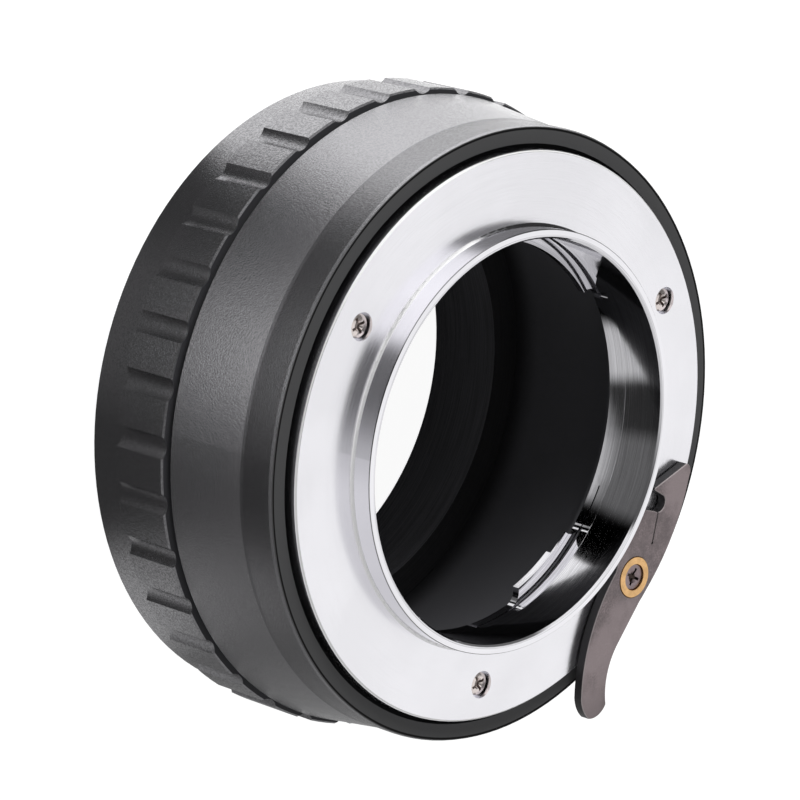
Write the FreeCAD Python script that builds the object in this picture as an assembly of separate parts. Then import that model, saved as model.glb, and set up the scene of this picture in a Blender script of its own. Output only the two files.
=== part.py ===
import FreeCAD, Part
import math
import os

# Lens mount adapter. Millimetres, +Z is the optical axis and points to the lens,
# z = 0 is the face that seats on the camera, and x = y = 0 is the optical axis.

# Heights along the axis
LENS_SEAT_HEIGHT = 28.7
LIP_HEIGHT = 2.4
PLATE_PROUD = 1.0
PLATE_THICKNESS = 2.4
RING_TOP_HEIGHT = 11.65
RING_FOOT_HEIGHT = 0.35
SHADOW_GAP = 0.65

# Lens mount plate with its lip and bore
PLATE_RADIUS = 29.33
PLATE_EDGE_CHAMFER = 0.2
LIP_RADIUS = 21.76
LIP_BASE_FILLET = 0.25
LIP_EDGE_CHAMFER = 0.08
LENS_BORE_RADIUS = 20.8
BORE_MOUTH_CHAMFER = 0.19
BORE_RELIEF_DEPTH = 5.04
BORE_RELIEF_STEP = 0.22
HUB_WALL = 1.8

# Bayonet lugs, each one on a leaf that a slit frees from the wall above it
LUG_COUNT = 3
LUG_INNER_RADIUS = 19.6
LUG_HEAD_ANGLE = 141.7
LUG_SPAN = 38.9
SHORT_LUG_SPAN = 24.7
LUG_LEAD_SPAN = 8.1
LUG_LEAD_THICKNESS = 0.2
LUG_DEPTH = 7.43
SLIT_DEPTH = 6.2
SLIT_WIDTH = 0.44
SLIT_END_WIDTH = 0.16
LEAF_ROOT_ANGLE = 159.15
LEAF_END_ANGLE = 98.25
LEAF_END_SPAN = 1.4
LUG_END_CUTTER_RADIUS = 1.45
LUG_END_CUTTER_BITE = 0.26
LUG_END_CUTTER_DEPTH = 5.3

# Front barrel
RIM_RADIUS = 31.5
RIM_BEVEL_HEIGHT = 0.35
RIM_BAND_RADIUS = 31.63
RIM_BAND_LENGTH = 3.97
CONE_END_RADIUS = 32.78
PLATE_GROOVE = 0.5
SEAT_THICKNESS = 4.4
SPIGOT_WALL = 3.4
SPIGOT_DEPTH = 3.65

# Rear barrel with its grip notches
GRIP_RADIUS = 33.31
GRIP_LENGTH = 6.6
GRIP_STEP = 0.6
GRIP_EDGE_CHAMFER = 0.19
GRIP_WALL = 2.91
FOOT_STEP = 0.91
FOOT_CHAMFER = 0.3
NOTCH_COUNT = 36
NOTCH_START_ANGLE = 2.5
NOTCH_DEPTH = 0.57
NOTCH_CUTTER_RADIUS = 1.42

# Camera bayonet plate
FLANGE_INSET = 1.9
SEAT_WIDTH = 4.7
FLANGE_THICKNESS = 1.6
FLANGE_CHAMFER = 0.2
TUBE_WALL = 1.4
TUBE_LENGTH = 6.5
TUBE_END_CHAMFER = 0.3
CAMERA_LUG_COUNT = 4
CAMERA_LUG_REACH = 1.6
CAMERA_LUG_DROP = 1.45
CAMERA_LUG_THICKNESS = 1.5
CAMERA_LUG_SPAN = 40.0
CAMERA_LUG_START_ANGLE = 5.0
LOCK_SLOT_ANGLE = 70.0
LOCK_SLOT_OFFSET = 2.8
LOCK_SLOT_WIDTH = 2.4
LOCK_SLOT_LENGTH = 3.4
LOCK_SLOT_DEPTH = 1.2

# Light baffle, the thin black sleeve inside the camera bayonet
BAFFLE_WALL = 0.85
BAFFLE_FLANGE_THICKNESS = 0.7

# Clearances
FIT_CLEARANCE = 0.05
PRESS_CLEARANCE = 0.01
SEAT_CLEARANCE = 0.1
RUNNING_CLEARANCE = 0.04

# Lens plate screws
PLATE_SCREW_COUNT = 3
PLATE_SCREW_CIRCLE = 25.64
PLATE_SCREW_START_ANGLE = 90.0
PLATE_SCREW_HEAD_RADIUS = 1.2
PLATE_SCREW_HEAD_HEIGHT = 0.72
PLATE_SCREW_DOME = 0.18
PLATE_SCREW_SHANK_RADIUS = 0.8
PLATE_SCREW_LENGTH = 4.9
PLATE_SCREW_WELL_RADIUS = 1.43
PLATE_SCREW_WELL_DEPTH = 1.25

# Camera plate screws, countersunk, that clamp the plate and both barrels together
CAMERA_SCREW_COUNT = 4
CAMERA_SCREW_START_ANGLE = 45.0
CAMERA_SCREW_HEAD_RADIUS = 1.45
CAMERA_SCREW_HEAD_HEIGHT = 0.8
CAMERA_SCREW_SHANK_RADIUS = 0.8
CAMERA_SCREW_LENGTH = 11.0
CAMERA_SCREW_INSET = 1.9
CAMERA_SCREW_RECESS = 0.08

# Cross recess in every screw head
CROSS_ARM_WIDTH = 0.3
CROSS_ARM_SHARE = 0.72
CROSS_DEPTH_SHARE = 0.6
SCREW_CROSS_TURN = 28.0
PIVOT_CROSS_TURN = 16.0

# Lock lever, in its own plane: x points away from the optical axis, y along the lever
# towards its hook, and the pivot is at x = y = 0
LEVER_ANGLE = 141.8
LEVER_PIVOT_CIRCLE = 26.28
LEVER_GAP = 0.15
LEVER_THICKNESS = 1.05
LEVER_EDGE_CHAMFER = 0.09
LEVER_CORNER_RADIUS = 0.16
LEVER_BORE_CHAMFER = 0.12
LEVER_TRAVEL = 8.0
LEVER_LIP_GAP = 0.32
LEVER_HOOK_TIP = (-4.40, 8.30)
LEVER_END_INNER = (-2.02, 13.15)
LEVER_END_MIDDLE = (-1.42, 13.27)
LEVER_BACK_TOP = (-0.68, 12.52)
LEVER_BACK_MIDDLE = (2.01, 5.90)
LEVER_BACK_FOOT = (2.71, -0.90)
LEVER_NECK_OUTER = (3.20, -6.20)
LEVER_FLARE_MIDDLE = (4.25, -9.60)
LEVER_TAB_OUTER = (6.45, -12.0)
LEVER_TAB_CORNER = (6.40, -13.35)
LEVER_TAB_END = (5.30, -14.58)
LEVER_TAB_ROUND = (4.05, -14.42)
LEVER_TAB_INNER = (2.80, -13.72)
LEVER_WAIST_INNER = (-0.45, -9.30)
LEVER_BOSS_INNER = (-2.75, -1.20)
LEVER_STRAP_FOOT_Y = 2.4
NOTCH_MOUTH_Y = 5.5
HOOK_NOTCH_FOOT = (-2.47, 6.79)
HOOK_NOTCH_MIDDLE = (-1.60, 7.85)
HOOK_NOTCH_TOP = (-2.46, 8.74)
LEVER_SLIT_TOP = (-2.07, 7.10)
LEVER_SLIT_END = (-0.28, 4.12)
LEVER_SLIT_WIDTH = 0.2
LEVER_SLIT_HOLE_RADIUS = 0.16

# Bush pressed into the lever, and the shouldered screw that it turns on
BUSH_RADIUS = 2.15
BUSH_PROUD = 0.04
BUSH_FOOT_GAP = 0.05
BUSH_WELL_DEPTH = 0.7
PIVOT_HEAD_RADIUS = 1.32
PIVOT_WELL_RADIUS = 1.42
PIVOT_HEAD_HEIGHT = 0.46
PIVOT_SHOULDER_RADIUS = 1.0
PIVOT_THREAD_RADIUS = 0.8
PIVOT_THREAD_LENGTH = 4.6

# Return spring in its pocket under the lever
POCKET_RADIUS = 2.3
POCKET_DEPTH = 1.3
SPRING_WIRE_RADIUS = 0.17
SPRING_COIL_RADIUS = 1.65
SPRING_HEIGHT = 0.45
SPRING_TURN = 300.0
SPRING_ARM_LENGTH = 4.4
SPRING_FOOT_LENGTH = 0.8
SPRING_TIP_REACH = 0.5
SPRING_CLEARANCE = 0.15

# Index dots of enamel, each in a drilled dimple
DOT_RADIUS = 0.8
DOT_DIMPLE_DEPTH = 0.45
DOT_THICKNESS = 0.35
DOT_ANGLE = 200.0
LENS_DOT_DROP = 2.3
CAMERA_DOT_HEIGHT = 2.9

# Heights and radii that follow from the sizes above
plate_top = LENS_SEAT_HEIGHT - LIP_HEIGHT
rim_top = plate_top - PLATE_PROUD
plate_seat = plate_top - PLATE_THICKNESS
relief_top = LENS_SEAT_HEIGHT - BORE_RELIEF_DEPTH
relief_radius = LENS_BORE_RADIUS + BORE_RELIEF_STEP
lug_foot = LENS_SEAT_HEIGHT - LUG_DEPTH
lug_cutter_top = LENS_SEAT_HEIGHT - LUG_END_CUTTER_DEPTH
slit_top = LENS_SEAT_HEIGHT - SLIT_DEPTH
slit_foot = slit_top - SLIT_WIDTH
fine_slit_top = slit_top - (SLIT_WIDTH - SLIT_END_WIDTH) / 2
fine_slit_foot = fine_slit_top - SLIT_END_WIDTH
hub_radius = LENS_BORE_RADIUS + HUB_WALL
lug_spans = [SHORT_LUG_SPAN] + [LUG_SPAN] * (LUG_COUNT - 1)
lug_cutter_circle = LENS_BORE_RADIUS + LUG_END_CUTTER_BITE - LUG_END_CUTTER_RADIUS
cone_foot = RING_TOP_HEIGHT + SHADOW_GAP
spigot_foot = RING_TOP_HEIGHT - SPIGOT_DEPTH
seat_foot = plate_seat - SEAT_THICKNESS
grip_foot = RING_TOP_HEIGHT - GRIP_LENGTH
spigot_radius = GRIP_RADIUS - GRIP_WALL
barrel_bore_radius = spigot_radius - SPIGOT_WALL
foot_radius = GRIP_RADIUS - FOOT_STEP
foot_top_radius = GRIP_RADIUS - GRIP_STEP
flange_radius = foot_radius - FLANGE_INSET
tube_radius = flange_radius - SEAT_WIDTH
tube_bore_radius = tube_radius - TUBE_WALL
camera_screw_circle = flange_radius - CAMERA_SCREW_INSET
lock_slot_circle = tube_radius + LOCK_SLOT_OFFSET
baffle_radius = tube_bore_radius - FIT_CLEARANCE
throat_radius = baffle_radius - BAFFLE_WALL
lever_foot = plate_top + LEVER_GAP
lever_top = lever_foot + LEVER_THICKNESS
lever_strap_radius = LIP_RADIUS + LEVER_LIP_GAP
pocket_floor = plate_top - POCKET_DEPTH
spring_level = pocket_floor + SPRING_HEIGHT
bush_top = lever_top + BUSH_PROUD
bush_well_floor = bush_top - BUSH_WELL_DEPTH

# How far a cutter runs past the face that it opens
OVERCUT = 1.0

AXIS = FreeCAD.Vector(0, 0, 1)
ORIGIN = FreeCAD.Vector(0, 0, 0)


def polar(radius, angle, height):
    """Point at a radius and an angle in degrees about the optical axis."""
    turn = math.radians(angle)
    return FreeCAD.Vector(radius * math.cos(turn), radius * math.sin(turn), height)


def shared_circle(count, start_angle):
    """Angles of a pattern spread evenly round the axis."""
    return [start_angle + 360.0 * index / count for index in range(count)]


def section_wire(items):
    """Closed wire in the XZ plane. An item is a corner (r, z) or a fillet ((r, z), (r, z)) mid and end."""
    edges = []
    first = items[0]
    here = FreeCAD.Vector(first[0], 0, first[1])
    start = here
    for item in items[1:]:
        if isinstance(item[0], tuple):
            middle = FreeCAD.Vector(item[0][0], 0, item[0][1])
            end = FreeCAD.Vector(item[1][0], 0, item[1][1])
            edges.append(Part.Arc(here, middle, end).toShape())
        else:
            end = FreeCAD.Vector(item[0], 0, item[1])
            edges.append(Part.makeLine(here, end))
        here = end
    edges.append(Part.makeLine(here, start))
    return Part.Wire(edges)


def turned(items):
    """Solid of revolution about the optical axis."""
    return Part.Face(section_wire(items)).revolve(ORIGIN, AXIS, 360)


def sector(inner, outer, foot, top, start_angle, end_angle):
    """Part of a ring between two angles."""
    face = Part.Face(section_wire([(inner, foot), (outer, foot), (outer, top), (inner, top)]))
    piece = face.revolve(ORIGIN, AXIS, end_angle - start_angle)
    piece.rotate(ORIGIN, AXIS, start_angle)
    return piece


def post(radius, foot, top, place):
    """Upright cylinder at a place given by x and y."""
    return Part.makeCylinder(radius, top - foot, FreeCAD.Vector(place.x, place.y, foot))


def radial_post(radius, inner, outer, angle, height):
    """Cylinder that points away from the optical axis."""
    direction = polar(1.0, angle, 0)
    return Part.makeCylinder(radius, outer - inner, polar(inner, angle, height), direction)


def cross_recess(head_radius, head_height, turn):
    """Cutter for a cross recess that opens upwards at z = 0."""
    reach = head_radius * CROSS_ARM_SHARE
    depth = head_height * CROSS_DEPTH_SHARE
    half = CROSS_ARM_WIDTH / 2
    arm = Part.makeBox(2 * reach, CROSS_ARM_WIDTH, depth + OVERCUT, FreeCAD.Vector(-reach, -half, -depth))
    other = arm.copy()
    other.rotate(ORIGIN, AXIS, 90)
    centre = Part.makeCone(half, reach * CROSS_ARM_SHARE, depth, FreeCAD.Vector(0, 0, -depth))
    cutter = arm.fuse([other, centre])
    cutter.rotate(ORIGIN, AXIS, turn)
    return cutter


def domed_screw(head_radius, head_height, dome, shank_radius, length):
    """Screw with a domed head. Its seat is at z = 0 and its shank points down."""
    quarter = (head_radius / 2, head_height + dome * 3 / 4)
    profile = [
        (0, -length),
        (shank_radius, -length),
        (shank_radius, 0),
        (head_radius, 0),
        (head_radius, head_height),
        (quarter, (0, head_height + dome)),
    ]
    cutter = cross_recess(head_radius, head_height, SCREW_CROSS_TURN)
    cutter.translate(FreeCAD.Vector(0, 0, head_height + dome))
    return turned(profile).cut(cutter)


def countersunk_screw(head_radius, head_height, shank_radius, length):
    """Screw with a flat countersunk head. Its top is at z = 0 and its shank points down."""
    profile = [
        (0, -length),
        (shank_radius, -length),
        (shank_radius, -head_height),
        (head_radius, 0),
        (0, 0),
    ]
    return turned(profile).cut(cross_recess(head_radius, head_height, SCREW_CROSS_TURN))


def lever_circle_point(radius, y):
    """Point of the lever's own plane on a circle about the optical axis."""
    return (math.sqrt(radius * radius - y * y) - LEVER_PIVOT_CIRCLE, y)


def lever_circle_middle(radius, y_one, y_two):
    """Middle of the arc between two such points."""
    turn_one = math.asin(y_one / radius)
    turn_two = math.asin(y_two / radius)
    return lever_circle_point(radius, radius * math.sin((turn_one + turn_two) / 2))


def place_in_lever(shape):
    """Moves a shape from the lever's own plane to its place on the adapter."""
    shape.translate(FreeCAD.Vector(LEVER_PIVOT_CIRCLE, 0, 0))
    shape.rotate(ORIGIN, AXIS, LEVER_ANGLE)
    return shape


def plate_screw_angles():
    return shared_circle(PLATE_SCREW_COUNT, PLATE_SCREW_START_ANGLE)


def camera_screw_angles():
    return shared_circle(CAMERA_SCREW_COUNT, CAMERA_SCREW_START_ANGLE)


def pivot():
    return polar(LEVER_PIVOT_CIRCLE, LEVER_ANGLE, 0)


def lens_plate_blank():
    """Turned plate, lip and hub before the lugs and holes."""
    fillet_turn = LIP_BASE_FILLET * (1 - math.sqrt(0.5))
    return turned([
        (relief_radius, lug_foot),
        (hub_radius, lug_foot),
        (hub_radius, plate_seat),
        (PLATE_RADIUS, plate_seat),
        (PLATE_RADIUS, plate_top - PLATE_EDGE_CHAMFER),
        (PLATE_RADIUS - PLATE_EDGE_CHAMFER, plate_top),
        (LIP_RADIUS + LIP_BASE_FILLET, plate_top),
        ((LIP_RADIUS + fillet_turn, plate_top + fillet_turn), (LIP_RADIUS, plate_top + LIP_BASE_FILLET)),
        (LIP_RADIUS, LENS_SEAT_HEIGHT - LIP_EDGE_CHAMFER),
        (LIP_RADIUS - LIP_EDGE_CHAMFER, LENS_SEAT_HEIGHT),
        (LENS_BORE_RADIUS + BORE_MOUTH_CHAMFER, LENS_SEAT_HEIGHT),
        (LENS_BORE_RADIUS, LENS_SEAT_HEIGHT - BORE_MOUTH_CHAMFER),
        (LENS_BORE_RADIUS, relief_top),
        (relief_radius, relief_top - BORE_RELIEF_STEP),
    ])


def lug_end_span():
    """Angle from a lug's inner corner to the middle of the cutter that hollows its end."""
    drop = LUG_INNER_RADIUS - lug_cutter_circle
    half = math.sqrt(max(LUG_END_CUTTER_RADIUS ** 2 - drop ** 2, 0))
    return math.degrees(math.atan2(half, LUG_INNER_RADIUS))


def lug_pieces(turn, span):
    """One lug: its full part, and its thinner lead-in."""
    tail = LUG_HEAD_ANGLE - span - lug_end_span() + turn
    lead = LUG_HEAD_ANGLE - LUG_LEAD_SPAN + turn
    head = LUG_HEAD_ANGLE + lug_end_span() + turn
    lead_foot = slit_foot - LUG_LEAD_THICKNESS
    full = sector(LUG_INNER_RADIUS, hub_radius, lug_foot, slit_top, tail, lead)
    thin = sector(LUG_INNER_RADIUS, hub_radius, lead_foot, slit_top, lead, head)
    return [full, thin]


def lug_cutters(turn, span):
    """Slit above one leaf, wide along its lug, the cut that frees the leaf, and the lug's round end cuts."""
    inner = LUG_INNER_RADIUS - OVERCUT
    outer = hub_radius + OVERCUT
    leaf_end = LEAF_END_ANGLE + turn
    tail = LUG_HEAD_ANGLE - span - lug_end_span()
    head = LUG_HEAD_ANGLE + lug_end_span()
    slit = sector(inner, outer, slit_foot, slit_top, tail + turn, head + turn)
    fine_slit = sector(inner, outer, fine_slit_foot, fine_slit_top, leaf_end, LEAF_ROOT_ANGLE + turn)
    free_end = sector(inner, outer, lug_foot - OVERCUT, slit_top, leaf_end - LEAF_END_SPAN, leaf_end)
    rounds = []
    for angle in (tail, head):
        place = polar(lug_cutter_circle, angle + turn, 0)
        rounds.append(post(LUG_END_CUTTER_RADIUS, lug_foot - OVERCUT, lug_cutter_top, place))
    return [slit, fine_slit, free_end] + rounds


def spring_foot_place():
    """End of the spring's coil, where its foot bends down, in the lever's own plane."""
    return polar(SPRING_COIL_RADIUS, -SPRING_TURN, spring_level)


def spring_pocket():
    """Pocket, channel and foot hole of the return spring, as a cutter."""
    half = SPRING_WIRE_RADIUS + SPRING_CLEARANCE
    pocket = Part.makeCylinder(POCKET_RADIUS, POCKET_DEPTH + OVERCUT, FreeCAD.Vector(0, 0, pocket_floor))
    channel_floor = spring_level - half
    channel = Part.makeBox(2 * half, SPRING_ARM_LENGTH + half, plate_top - channel_floor + OVERCUT,
                           FreeCAD.Vector(SPRING_COIL_RADIUS - half, 0, channel_floor))
    foot_floor = pocket_floor - SPRING_FOOT_LENGTH
    foot = post(SPRING_WIRE_RADIUS + FIT_CLEARANCE, foot_floor, spring_level, spring_foot_place())
    return place_in_lever(pocket.fuse([channel, foot]))


def make_lens_mount_plate():
    body = lens_plate_blank()
    cutters = [spring_pocket()]
    for turn, span in zip(shared_circle(LUG_COUNT, 0.0), lug_spans):
        body = body.fuse(lug_pieces(turn, span))
        cutters += lug_cutters(turn, span)
    body = body.removeSplitter()
    well_floor = plate_top - PLATE_SCREW_WELL_DEPTH
    hole_foot = plate_seat - OVERCUT
    for angle in plate_screw_angles():
        place = polar(PLATE_SCREW_CIRCLE, angle, 0)
        cutters.append(post(PLATE_SCREW_WELL_RADIUS, well_floor, plate_top + OVERCUT, place))
        cutters.append(post(PLATE_SCREW_SHANK_RADIUS + FIT_CLEARANCE, hole_foot, plate_top, place))
    cutters.append(post(PIVOT_THREAD_RADIUS + FIT_CLEARANCE, hole_foot, plate_top, pivot()))
    return body.cut(cutters)


def make_front_barrel():
    groove_radius = PLATE_RADIUS + PLATE_GROOVE
    blank = turned([
        (hub_radius + SEAT_CLEARANCE, plate_seat),
        (hub_radius + SEAT_CLEARANCE, seat_foot),
        (barrel_bore_radius, seat_foot),
        (barrel_bore_radius, spigot_foot),
        (spigot_radius, spigot_foot),
        (spigot_radius, cone_foot),
        (CONE_END_RADIUS, cone_foot),
        (RIM_BAND_RADIUS, rim_top - RIM_BAND_LENGTH),
        (RIM_BAND_RADIUS, rim_top - RIM_BEVEL_HEIGHT),
        (RIM_RADIUS, rim_top),
        (groove_radius, rim_top),
        (groove_radius, plate_seat),
    ])
    cutters = []
    for angle in plate_screw_angles():
        place = polar(PLATE_SCREW_CIRCLE, angle, 0)
        foot = plate_top - PLATE_SCREW_WELL_DEPTH - PLATE_SCREW_LENGTH - SEAT_CLEARANCE
        cutters.append(post(PLATE_SCREW_SHANK_RADIUS + FIT_CLEARANCE, foot, plate_top, place))
    pivot_foot = pocket_floor - PIVOT_THREAD_LENGTH - SEAT_CLEARANCE
    cutters.append(post(PIVOT_THREAD_RADIUS + FIT_CLEARANCE, pivot_foot, plate_top, pivot()))
    for angle in camera_screw_angles():
        top = CAMERA_SCREW_RECESS + CAMERA_SCREW_LENGTH + SEAT_CLEARANCE
        place = polar(camera_screw_circle, angle, 0)
        cutters.append(post(CAMERA_SCREW_SHANK_RADIUS + FIT_CLEARANCE, spigot_foot - OVERCUT, top, place))
    cutters.append(radial_post(DOT_RADIUS + FIT_CLEARANCE, RIM_BAND_RADIUS - DOT_DIMPLE_DEPTH,
                               RIM_BAND_RADIUS + OVERCUT, DOT_ANGLE, rim_top - LENS_DOT_DROP))
    return blank.cut(cutters)


def foot_slope_radius(height):
    """Outer radius of the rear barrel's smooth band at a height."""
    share = (height - RING_FOOT_HEIGHT - FOOT_CHAMFER) / (grip_foot - RING_FOOT_HEIGHT - FOOT_CHAMFER)
    return foot_radius + (foot_top_radius - foot_radius) * share


def make_rear_barrel():
    blank = turned([
        (barrel_bore_radius, FLANGE_THICKNESS),
        (flange_radius + SEAT_CLEARANCE, FLANGE_THICKNESS),
        (flange_radius + SEAT_CLEARANCE, RING_FOOT_HEIGHT),
        (foot_radius - FOOT_CHAMFER, RING_FOOT_HEIGHT),
        (foot_radius, RING_FOOT_HEIGHT + FOOT_CHAMFER),
        (foot_top_radius, grip_foot),
        (GRIP_RADIUS, grip_foot),
        (GRIP_RADIUS, RING_TOP_HEIGHT - GRIP_EDGE_CHAMFER),
        (GRIP_RADIUS - GRIP_EDGE_CHAMFER, RING_TOP_HEIGHT),
        (spigot_radius + FIT_CLEARANCE, RING_TOP_HEIGHT),
        (spigot_radius + FIT_CLEARANCE, spigot_foot),
        (barrel_bore_radius, spigot_foot),
    ])
    cutters = []
    for angle in shared_circle(NOTCH_COUNT, NOTCH_START_ANGLE):
        place = polar(GRIP_RADIUS - NOTCH_DEPTH + NOTCH_CUTTER_RADIUS, angle, 0)
        cutters.append(post(NOTCH_CUTTER_RADIUS, grip_foot, RING_TOP_HEIGHT + OVERCUT, place))
    for angle in camera_screw_angles():
        place = polar(camera_screw_circle, angle, 0)
        cutters.append(post(CAMERA_SCREW_SHANK_RADIUS + FIT_CLEARANCE, 0, spigot_foot + OVERCUT, place))
    band_radius = foot_slope_radius(CAMERA_DOT_HEIGHT)
    cutters.append(radial_post(DOT_RADIUS + FIT_CLEARANCE, band_radius - DOT_DIMPLE_DEPTH,
                               band_radius + OVERCUT, DOT_ANGLE, CAMERA_DOT_HEIGHT))
    return blank.cut(cutters)


def make_camera_mount_plate():
    body = turned([
        (tube_bore_radius, -TUBE_LENGTH),
        (tube_radius - TUBE_END_CHAMFER, -TUBE_LENGTH),
        (tube_radius, TUBE_END_CHAMFER - TUBE_LENGTH),
        (tube_radius, 0),
        (flange_radius - FLANGE_CHAMFER, 0),
        (flange_radius, FLANGE_CHAMFER),
        (flange_radius, FLANGE_THICKNESS),
        (tube_bore_radius, FLANGE_THICKNESS),
    ])
    inner = tube_radius - TUBE_WALL / 2
    outer = tube_radius + CAMERA_LUG_REACH
    lug_top = -CAMERA_LUG_DROP
    low = lug_top - CAMERA_LUG_THICKNESS
    lugs = []
    for angle in shared_circle(CAMERA_LUG_COUNT, CAMERA_LUG_START_ANGLE):
        lugs.append(sector(inner, outer, low, lug_top, angle, angle + CAMERA_LUG_SPAN))
    body = body.fuse(lugs)
    cutters = [lock_slot()]
    for angle in camera_screw_angles():
        sink = turned([
            (0, -OVERCUT),
            (CAMERA_SCREW_HEAD_RADIUS + FIT_CLEARANCE, -OVERCUT),
            (CAMERA_SCREW_HEAD_RADIUS + FIT_CLEARANCE, CAMERA_SCREW_RECESS),
            (CAMERA_SCREW_SHANK_RADIUS + FIT_CLEARANCE, CAMERA_SCREW_RECESS + CAMERA_SCREW_HEAD_HEIGHT),
            (CAMERA_SCREW_SHANK_RADIUS + FIT_CLEARANCE, FLANGE_THICKNESS + OVERCUT),
            (0, FLANGE_THICKNESS + OVERCUT),
        ])
        sink.translate(polar(camera_screw_circle, angle, 0))
        cutters.append(sink)
    return body.cut(cutters)


def lock_slot():
    """Radial slot in the camera seat that takes the camera's locking pin."""
    half = LOCK_SLOT_WIDTH / 2
    straight = LOCK_SLOT_LENGTH - LOCK_SLOT_WIDTH
    middle = Part.makeBox(straight, LOCK_SLOT_WIDTH, LOCK_SLOT_DEPTH + OVERCUT,
                          FreeCAD.Vector(lock_slot_circle - straight / 2, -half, -OVERCUT))
    ends = []
    for side in (-1, 1):
        place = FreeCAD.Vector(lock_slot_circle + side * straight / 2, 0, 0)
        ends.append(post(half, -OVERCUT, LOCK_SLOT_DEPTH, place))
    slot = middle.fuse(ends)
    slot.rotate(ORIGIN, AXIS, LOCK_SLOT_ANGLE)
    return slot


def make_light_baffle():
    rest_radius = barrel_bore_radius - SEAT_CLEARANCE
    return turned([
        (throat_radius, -TUBE_LENGTH),
        (baffle_radius, -TUBE_LENGTH),
        (baffle_radius, FLANGE_THICKNESS),
        (rest_radius, FLANGE_THICKNESS),
        (rest_radius, FLANGE_THICKNESS + BAFFLE_FLANGE_THICKNESS),
        (throat_radius, FLANGE_THICKNESS + BAFFLE_FLANGE_THICKNESS),
    ])


def make_plate_screw(angle):
    screw = domed_screw(PLATE_SCREW_HEAD_RADIUS, PLATE_SCREW_HEAD_HEIGHT, PLATE_SCREW_DOME,
                        PLATE_SCREW_SHANK_RADIUS, PLATE_SCREW_LENGTH)
    screw.translate(polar(PLATE_SCREW_CIRCLE, angle, plate_top - PLATE_SCREW_WELL_DEPTH))
    return screw


def make_camera_screw(angle):
    screw = countersunk_screw(CAMERA_SCREW_HEAD_RADIUS, CAMERA_SCREW_HEAD_HEIGHT,
                              CAMERA_SCREW_SHANK_RADIUS, CAMERA_SCREW_LENGTH)
    screw.rotate(ORIGIN, FreeCAD.Vector(1, 0, 0), 180)
    screw.translate(polar(camera_screw_circle, angle, CAMERA_SCREW_RECESS))
    return screw


def lever_outline():
    """Closed outline of the lever, without its slit and holes."""
    def spot(point):
        return FreeCAD.Vector(point[0], point[1], 0)

    strap_foot = lever_circle_point(lever_strap_radius, LEVER_STRAP_FOOT_Y)
    notch_mouth = lever_circle_point(lever_strap_radius, NOTCH_MOUTH_Y)
    strap_middle = lever_circle_middle(lever_strap_radius, LEVER_STRAP_FOOT_Y, NOTCH_MOUTH_Y)
    pieces = [
        Part.makeLine(spot(LEVER_HOOK_TIP), spot(LEVER_END_INNER)),
        Part.Arc(spot(LEVER_END_INNER), spot(LEVER_END_MIDDLE), spot(LEVER_BACK_TOP)).toShape(),
        Part.Arc(spot(LEVER_BACK_TOP), spot(LEVER_BACK_MIDDLE), spot(LEVER_BACK_FOOT)).toShape(),
        Part.makeLine(spot(LEVER_BACK_FOOT), spot(LEVER_NECK_OUTER)),
        Part.Arc(spot(LEVER_NECK_OUTER), spot(LEVER_FLARE_MIDDLE), spot(LEVER_TAB_OUTER)).toShape(),
        Part.Arc(spot(LEVER_TAB_OUTER), spot(LEVER_TAB_CORNER), spot(LEVER_TAB_END)).toShape(),
        Part.Arc(spot(LEVER_TAB_END), spot(LEVER_TAB_ROUND), spot(LEVER_TAB_INNER)).toShape(),
        Part.Arc(spot(LEVER_TAB_INNER), spot(LEVER_WAIST_INNER), spot(LEVER_BOSS_INNER)).toShape(),
        Part.makeLine(spot(LEVER_BOSS_INNER), spot(strap_foot)),
        Part.Arc(spot(strap_foot), spot(strap_middle), spot(notch_mouth)).toShape(),
        Part.makeLine(spot(notch_mouth), spot(HOOK_NOTCH_FOOT)),
        Part.Arc(spot(HOOK_NOTCH_FOOT), spot(HOOK_NOTCH_MIDDLE), spot(HOOK_NOTCH_TOP)).toShape(),
        Part.makeLine(spot(HOOK_NOTCH_TOP), spot(LEVER_HOOK_TIP)),
    ]
    return Part.Wire(pieces)


def lever_slit():
    """Thin slit that makes the strap beside the lip springy, with the small hole at its end."""
    start = FreeCAD.Vector(LEVER_SLIT_TOP[0], LEVER_SLIT_TOP[1], 0)
    end = FreeCAD.Vector(LEVER_SLIT_END[0], LEVER_SLIT_END[1], 0)
    run = end.sub(start)
    height = LEVER_THICKNESS + 2 * OVERCUT
    cut = Part.makeBox(run.Length, LEVER_SLIT_WIDTH, height, FreeCAD.Vector(0, -LEVER_SLIT_WIDTH / 2, 0))
    cut.rotate(ORIGIN, AXIS, math.degrees(math.atan2(run.y, run.x)))
    cut.translate(start)
    hole = Part.makeCylinder(LEVER_SLIT_HOLE_RADIUS, height, end)
    return cut.fuse(hole)


def spring_tip_slot():
    """Curved slot in the lever's underside that the spring's tip stands in over the whole travel."""
    middle = math.hypot(SPRING_COIL_RADIUS, SPRING_ARM_LENGTH)
    start = math.degrees(math.atan2(SPRING_ARM_LENGTH, SPRING_COIL_RADIUS))
    half = SPRING_WIRE_RADIUS + SPRING_CLEARANCE
    end_span = math.degrees(half / middle)
    end = start + LEVER_TRAVEL
    top = SPRING_TIP_REACH + SPRING_CLEARANCE
    return sector(middle - half, middle + half, -OVERCUT, top, start - end_span, end + end_span)


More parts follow.
